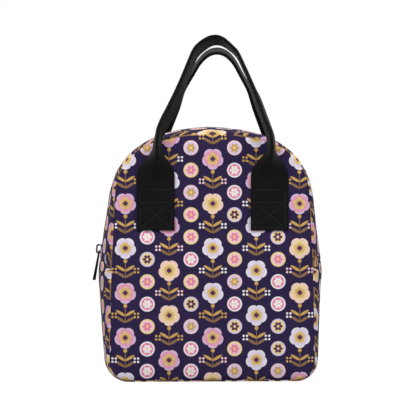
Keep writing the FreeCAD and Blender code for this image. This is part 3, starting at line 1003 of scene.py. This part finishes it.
def fullerBail(places):
    c = castingShape
    run = np.array(joints["zip_slider_run"]["axis"])
    out = np.array([-run[2], 0, run[0]])
    along, height = places @ run, places @ out
    along = along - (along.min() + along.max()) / 2
    height = height - height.max() + c["bailHeight"]
    core = c["bailLength"] / 2 - c["bailRound"]
    acrossRun, acrossOut = along - np.clip(along, -core, core), height - np.minimum(height, c["bailRound"])
    reach = np.maximum(np.hypot(acrossRun, acrossOut), 1e-6)
    onOutside = reach > c["bailInside"] * c["bailRound"]
    push = c["bail"] * onOutside * smooth(height / c["bailRise"]) / reach
    return places + np.outer(push * acrossRun, run) + np.outer(push * acrossOut, out)


def longerTab(places):
    c = castingShape
    pivot = np.array(joints["zip_pull_swing"]["pos_m"])
    tip = places[places[:, 2].argmin()]
    down = np.array([tip[0] - pivot[0], 0, tip[2] - pivot[2]])
    down = down / np.linalg.norm(down)
    thick = np.array([-down[2], 0, down[0]])
    along, aside = (places - pivot) @ down, (places - pivot) @ thick
    share = smooth((along - c["eye"]) / (along.max() - c["eye"]))
    return places + np.outer(c["longer"] * share, down) + np.outer(c["thicker"] * share * aside, thick)


casting("zipSlider", "zip_slider", fullerBail)
casting("zipPull", "zip_pull", longerTab)
print("zip made")

# stitches: short threads that dip into the cloth at both ends
stitchShape = {
    "length": 0.0026,
    "gap": 0.0007,
    "lead": 0.0004,
    "radius": 0.00028,
    "endRadius": 0.6,  # share of the radius
    "sink": 0.55,
    "rings": 5,
    "sides": 6,
    "fromHem": 0.0022,
    "lift": 0.0001,
    "linePoints": 40,
}


def stitchObject(name, stitches):
    verts, faces, uvs = [], [], []
    rings, sides, radius = stitchShape["rings"], stitchShape["sides"], stitchShape["radius"]
    for start, end, out in stitches:
        start, end, out = Vector(start), Vector(end), Vector(out).normalized()
        across = (end - start).normalized().cross(out)
        faces += tubeFaces(len(verts), rings, sides)
        for t in (r / (rings - 1) for r in range(rings)):
            swell = sin(pi * mix(0.12, 0.88, t))
            centre = start.lerp(end, t) + out * radius * (swell - stitchShape["sink"])
            for angle in (2 * pi * s / sides for s in range(sides)):
                outward = across * cos(angle) + out * sin(angle)
                verts.append(centre + outward * radius * mix(stitchShape["endRadius"], 1, swell))
                uvs.append((radius * angle, (end - start).length * t))
    return meshObject(name, verts, faces, uvs, sharp=60)


def stitchesAlong(line, outs):
    # line: points along a seam, cut into stitches
    lengths = lengthsAlong(line)
    stitch = stitchShape["length"]
    starts = np.arange(stitchShape["lead"], lengths[-1] - stitch, stitch + stitchShape["gap"])
    ends = partWay(line, lengths, starts + stitch)
    return zip(partWay(line, lengths, starts), ends, partWay(outs, lengths, starts))


def bandStitches(side):
    y = side * (slotEdge + stitchShape["fromHem"])
    points, normals = [part[zipColumns] for part in outline(bowShare(y))]
    along = runLength[zipColumns]
    lift = bandLift(normals, along, y) + bandSwell(along, y) - zipDrop[zipColumns] * grooveShare(y)
    return stitchesAlong(atDepth(points + normals * lift[:, None], y), atDepth(normals, 0.0))


sew(stitchObject("frontBandThread", bandStitches(-1)), True, threadNavy, "binding")
sew(stitchObject("rearBandThread", bandStitches(1)), False, threadNavy, "binding")

# handles: webbing sewn flat to a panel, which closes to a fold above it and leans in over the top
handleShape = {
    "thick": 0.0016,
    "turnedEnd": 0.017,
    "turnedRamp": 0.005,
    "doubling": 0.75,  # thickness added where the end is turned under
    "pressed": 0.00045,  # by a row of stitches
    "pressWidth": 0.0014,
    "edgeRound": 0.0005,
    "edgeWidth": 0.0011,
    "flat": 0.0045,  # above the hinge, before the webbing starts to close
    "closing": 0.0356,
    "crease": 0.0008,  # roundness of the fold
    "foldWidth": 1.37,  # in creases
    "plyPoints": 13,
    "rim": 0.85,  # thickness left at the edges
    "leanRadius": 0.025,
    "legDrop": 0.0025,
    "sewnDrop": 0.0437,
    "sewnColumns": 52,
    "sewnRows": 58,
    "routeSteps": (22, 16, 18, 18),
    "stitchInset": 0.0032,
    "boxFoot": 0.0025,
    "boxHeight": 0.0285,
    "bendLength": 0.013,
    "twistSpan": 0.040,
    "twistStart": 0.035,
    "twistRise": 0.030,
    "shutStart": 0.045,  # above the panel's edge, where the fold is pressed shut
    "shutLength": 0.025,
    "gripGape": 0.0001,
    "wander": 0.0006,  # small drift of the soft strap
    "wanderScale": 16,
    # the two straps differ a little: peak draws the grip together, sway is a sideways drift,
    # the fold gapes along the legs, and twist turns a leg about its own line
    "front": {"lean": 18.0, "reach": 0.1099, "grip": 0.0236, "peak": 0.233, "peakLength": 0.0186,
              "legBend": 0.037, "sway": 0.00605, "swayStart": 0.0099, "swayLength": 0.100,
              "leftGape": 0.0060, "rightGape": 0.0060, "leftTwist": -10.5, "rightTwist": 8.5},
    "back": {"lean": 20.5, "reach": 0.1093, "grip": 0.0282, "peak": 0.234, "peakLength": 0.045,
             "legBend": 0.0573, "sway": 0.0094, "swayStart": 0.0, "swayLength": 0.055,
             "leftGape": 0.0045, "rightGape": 0.0025, "leftTwist": 0.8, "rightTwist": -3.7},
}
hingeY, hingeZ = joints["front_handle_swing"]["pos_m"][1:]
webInner = -endHigh.y
panelEdge = sewnTop + handleShape["sewnDrop"]
legStart = hingeZ - panelEdge
boxX = webHalf - handleShape["stitchInset"]
boxLow, boxHigh = sewnBottom + handleShape["boxFoot"], sewnBottom + handleShape["boxHeight"]
barZ = sewnTop - handleShape["stitchInset"]
sewnLines = [
    ((-boxX, boxLow), (boxX, boxLow)), ((boxX, boxLow), (boxX, barZ)),
    ((boxX, boxHigh), (-boxX, boxHigh)), ((-boxX, barZ), (-boxX, boxLow)), ((boxX, barZ), (-boxX, barZ)),
    ((-boxX, boxLow), (boxX, boxHigh)), ((-boxX, boxHigh), (boxX, boxLow)),
]


def toLine(x, z, line):
    (x0, z0), (x1, z1) = line
    wide, high = x1 - x0, z1 - z0
    share = np.clip(((x - x0) * wide + (z - z0) * high) / (wide ** 2 + high ** 2), 0, 1)
    return np.hypot(x - x0 - share * wide, z - z0 - share * high)


def sewnRise(x, z):
    # outer face of the sewn webbing above the panel, doubled where its end is turned under
    h = handleShape
    doubled = 1 - smooth((z - sewnBottom - h["turnedEnd"]) / h["turnedRamp"])
    near = np.min([toLine(x, z, line) for line in sewnLines], axis=0)
    pressed = h["pressed"] * np.exp(-(near / h["pressWidth"]) ** 2)
    edge = np.minimum(webHalf - np.abs(x), z - sewnBottom)
    rounded = h["edgeRound"] * (1 - smooth(edge / h["edgeWidth"]))
    return h["thick"] * (1 + h["doubling"] * doubled) - pressed - rounded


def sewnEnds(name, side):
    verts, faces, uvs = [], [], []
    t = np.linspace(0, 1, handleShape["sewnColumns"])
    xs = mix(-webHalf, webHalf, mix(t, smooth(t), 0.55))  # denser towards both edges
    zs = np.linspace(sewnBottom, hingeZ, handleShape["sewnRows"])  # up to where the loop starts
    x, z = np.meshgrid(xs, zs)
    for centre in (-sewnX, sewnX):
        faces += [tuple(len(verts) + i for i in face) for face in sheetFaces(len(zs), len(xs))]
        for y in (webInner + sewnRise(x, z), np.full(x.shape, webInner)):
            verts += list(np.stack([x + centre, side * y, z], -1).reshape(-1, 3))
            uvs += list(np.stack([x, z], -1).reshape(-1, 2))
    return meshObject(name, verts, faces, uvs)


def sewnStitches(side):
    found = []
    for centre in (-sewnX, sewnX):
        for first, last in sewnLines:
            x, z = np.linspace(first, last, stitchShape["linePoints"]).T
            y = webInner + sewnRise(x, z) + stitchShape["lift"]
            line = np.stack([x + centre, side * y, z], 1)
            found += stitchesAlong(line, np.repeat([[0, side, 0]], len(x), 0))
    return found


def legRoute(strap):
    # right half of the strap's line in its own plane, heights from the panel's edge
    drop, steps = handleShape["legDrop"], handleShape["routeSteps"]
    grip, bend = strap["grip"], strap["legBend"]
    gripZ = strap["reach"] - grip
    bendX = sewnX - bend
    rise = gripZ + drop
    slant = atan2(rise, -bendX) - acos((bend - grip) / hypot(bendX, rise))
    foot, head = onCircle(bendX, -drop, bend, slant), onCircle(0, gripZ, grip, slant)
    heights = np.linspace(legStart, -drop, steps[0], endpoint=False)
    turns = np.linspace(0, slant, steps[1], endpoint=False)
    shares = np.linspace(0, 1, steps[2], endpoint=False)
    places = [(sewnX, z) for z in heights]
    places += [onCircle(bendX, -drop, bend, turn) for turn in turns]
    places += [(mix(foot[0], head[0], share), mix(foot[1], head[1], share)) for share in shares]
    places += [onCircle(0, gripZ, grip, turn) for turn in np.linspace(slant, pi / 2, steps[3])]
    x, z = np.array(places).T
    x = x * mix(1 - strap["peak"], 1, smooth((strap["reach"] - z) / strap["peakLength"]))
    turns = np.arctan2(-np.gradient(x), np.gradient(z))
    turns[-1] = pi / 2
    return list(zip(x, z, turns))


def strapSection(strap, height, hand):
    # half of the folded webbing: (across, inward) of its middle line and its outward normals
    h = handleShape
    share = smooth((height - legStart - h["flat"]) / h["closing"])
    shut = smooth((height - h["shutStart"]) / h["shutLength"])
    slit = mix(strap[hand + "Gape"], h["gripGape"], shut)
    closed = asin(((slit + h["thick"]) / 2 - h["foldWidth"] * h["crease"]) / webHalf)
    along = webHalf * np.linspace(0, 1, h["plyPoints"]) ** 1.5
    angle = mix(mix(pi / 2, closed, share), pi / 2, np.exp(-along / h["crease"]))
    steps = np.diff(along)
    middle = (angle[1:] + angle[:-1]) / 2
    across, inward = sumsOf(np.sin(middle) * steps), sumsOf(np.cos(middle) * steps)
    return along, across, inward - inward[-1], np.cos(angle), -np.sin(angle)


def strapLoop(name, side, strap):
    h = handleShape
    right = legRoute(strap)
    stations = right + [(-x, z, pi - turn) for x, z, turn in reversed(right[:-1])]
    turned = radians(strap["lean"])
    verts, uvs, travel, last = [], [], 0.0, None
    for x, height, turn in stations:
        angle = min(max(height, 0.0) / h["leanRadius"], turned)
        beyond = max(height - h["leanRadius"] * turned, 0.0)
        inward = np.array([0, cos(angle), -sin(angle)])
        upward = np.array([0, sin(angle), cos(angle)])
        pointY = h["leanRadius"] * (1 - cos(angle)) - webInner - h["thick"] / 2
        pointZ = panelEdge + min(height, 0.0) + h["leanRadius"] * sin(angle)
        point = np.array([x, pointY, pointZ]) + upward * beyond
        sideways = np.array([cos(turn), 0, 0]) + upward * sin(turn)
        lifted = height - legStart
        free = smooth((lifted - h["flat"]) / h["closing"])
        point[0] -= side * strap["sway"] * smooth((lifted - strap["swayStart"]) / strap["swayLength"])
        spot = Vector((x * h["wanderScale"] * side, height * h["wanderScale"], strap["lean"]))
        drift = sideways * noise.noise(spot) + inward * noise.noise(spot * 1.7)
        point = point + drift * h["wander"] * free
        travel += 0.0 if last is None else np.linalg.norm(point - last)
        last = point
        hand = "right" if x * side < 0 else "left"
        twist = mix(strap["leftTwist"], strap["rightTwist"], smooth(0.5 - side * x / h["twistSpan"]))
        twist = radians(twist) * smooth((lifted - h["twistStart"]) / h["twistRise"])
        sideways, inward = (sideways * cos(twist) - inward * sin(twist),
                            inward * cos(twist) + sideways * sin(twist))
        along, across, depth, outAcross, outInward = strapSection(strap, height, hand)
        rim = np.where(along > along[-1] - 1e-6, h["rim"], 1.0) * h["thick"] / 2
        for face in (1, -1):
            a, d = across + face * outAcross * rim, depth + face * outInward * rim
            ring = list(zip(a, d, along))
            ring = [(-p, q, -s) for p, q, s in ring[:0:-1]] + ring
            for p, q, s in ring[::face]:
                place = point + sideways * p + inward * q
                verts.append(place if side < 0 else place * np.array([-1, -1, 1]))
                uvs.append((s, travel))
    faces = tubeFaces(0, len(stations), 2 * (2 * h["plyPoints"] - 1))
    return meshObject(name, verts, faces, uvs, sharp=50)


for side, half in ((-1, "front"), (1, "back")):
    sew(sewnEnds(half + "HandleEnds", side), side < 0, webbing, "webbing", half + "_handle_ends")
    sew(stitchObject(half + "HandleThread", sewnStitches(side)), side < 0, threadBlack, "webbing")
for side, half, wall in ((-1, "front", "front_flap"), (1, "back", "bag_body")):
    loop = strapLoop(half + "HandleLoop", side, handleShape[half])
    dress(loop, webbing, "webbing", half + "_handle_loop")
    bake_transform(loop)
print("handles made")

# floor, light and camera
stageShape = {
    "floorTone": (0.10, 0.10, 0.10, 1.0),
    "floorHalf": 6,
    "shadowShare": 0.60,
    "floorGlow": 2.40,
    "worldLevel": 0.58,
    # place, aim, size and power of each lamp
    "key": ((-1.1, -1.7, 1.3), (0, 0, 0.15), 1.6, 30.2),
    "fill": ((1.4, -1.5, 0.8), (0, 0, 0.15), 1.4, 16.3),
    "top": ((0.1, 0.5, 1.8), (0, 0, 0.2), 1.2, 14.0),
}
cameraShape = {"distance": 1.665, "azimuth": -2.6, "height": 0.150, "width": 0.438,
               "aimX": -0.0016, "aimZ": 0.1766}


def seenDirectly():
    rays = addNode("LightPath").outputs
    mirrored = calc("MAXIMUM", rays["Is Glossy Ray"], rays["Is Transmission Ray"])
    return calc("MAXIMUM", rays["Is Camera Ray"], mirrored)


def makeFloor():
    mesh = bpy.data.meshes.new("floor")
    far = stageShape["floorHalf"]
    mesh.from_pydata([(-far, -far, 0), (far, -far, 0), (far, far, 0), (-far, far, 0)], [], [(0, 1, 2, 3)])
    floor = linked("floor", mesh)
    material = newMaterial("paleFloor", Roughness=0.9, Base_Color=stageShape["floorTone"])
    glow = addNode("Emission", {"Strength": stageShape["floorGlow"]})
    share = times(seenDirectly(), 1 - stageShape["shadowShare"])
    join = addNode("MixShader", {0: share, 1: atWork["shader"].outputs[0], 2: glow.outputs[0]})
    plug(join.outputs[0], atWork["tree"].nodes["Material Output"].inputs["Surface"])
    mesh.materials.append(material)


def makeWorld():
    world = bpy.data.worlds.new("studio")
    world.use_nodes = True
    atWork["tree"] = world.node_tree
    back = world.node_tree.nodes["Background"]
    back.inputs["Color"].default_value = (1, 1, 1, 1)
    plug(ranged(seenDirectly(), stageShape["worldLevel"], 1.0), back.inputs["Strength"])
    scene.world = world


def aimed(made, place, aim):
    made.location = place
    made.rotation_euler = (Vector(aim) - Vector(place)).to_track_quat("-Z", "Y").to_euler()
    return made


def makeLamp(name, place, aim, size, power):
    lamp = bpy.data.lights.new(name, "AREA")
    lamp.size = size
    lamp.energy = power
    aimed(linked(name, lamp), place, aim)


def makeCamera():
    c = cameraShape
    turn = radians(c["azimuth"])
    place = (c["aimX"] + c["distance"] * sin(turn), -c["distance"] * cos(turn), c["height"])
    data = bpy.data.cameras.new("camera")
    data.lens = data.sensor_width * c["distance"] / c["width"]
    scene.camera = aimed(linked("camera", data), place, (c["aimX"], 0, c["aimZ"]))


makeFloor()
makeWorld()
for name in ("key", "fill", "top"):
    makeLamp(name, *stageShape[name])
makeCamera()
print("stage made")
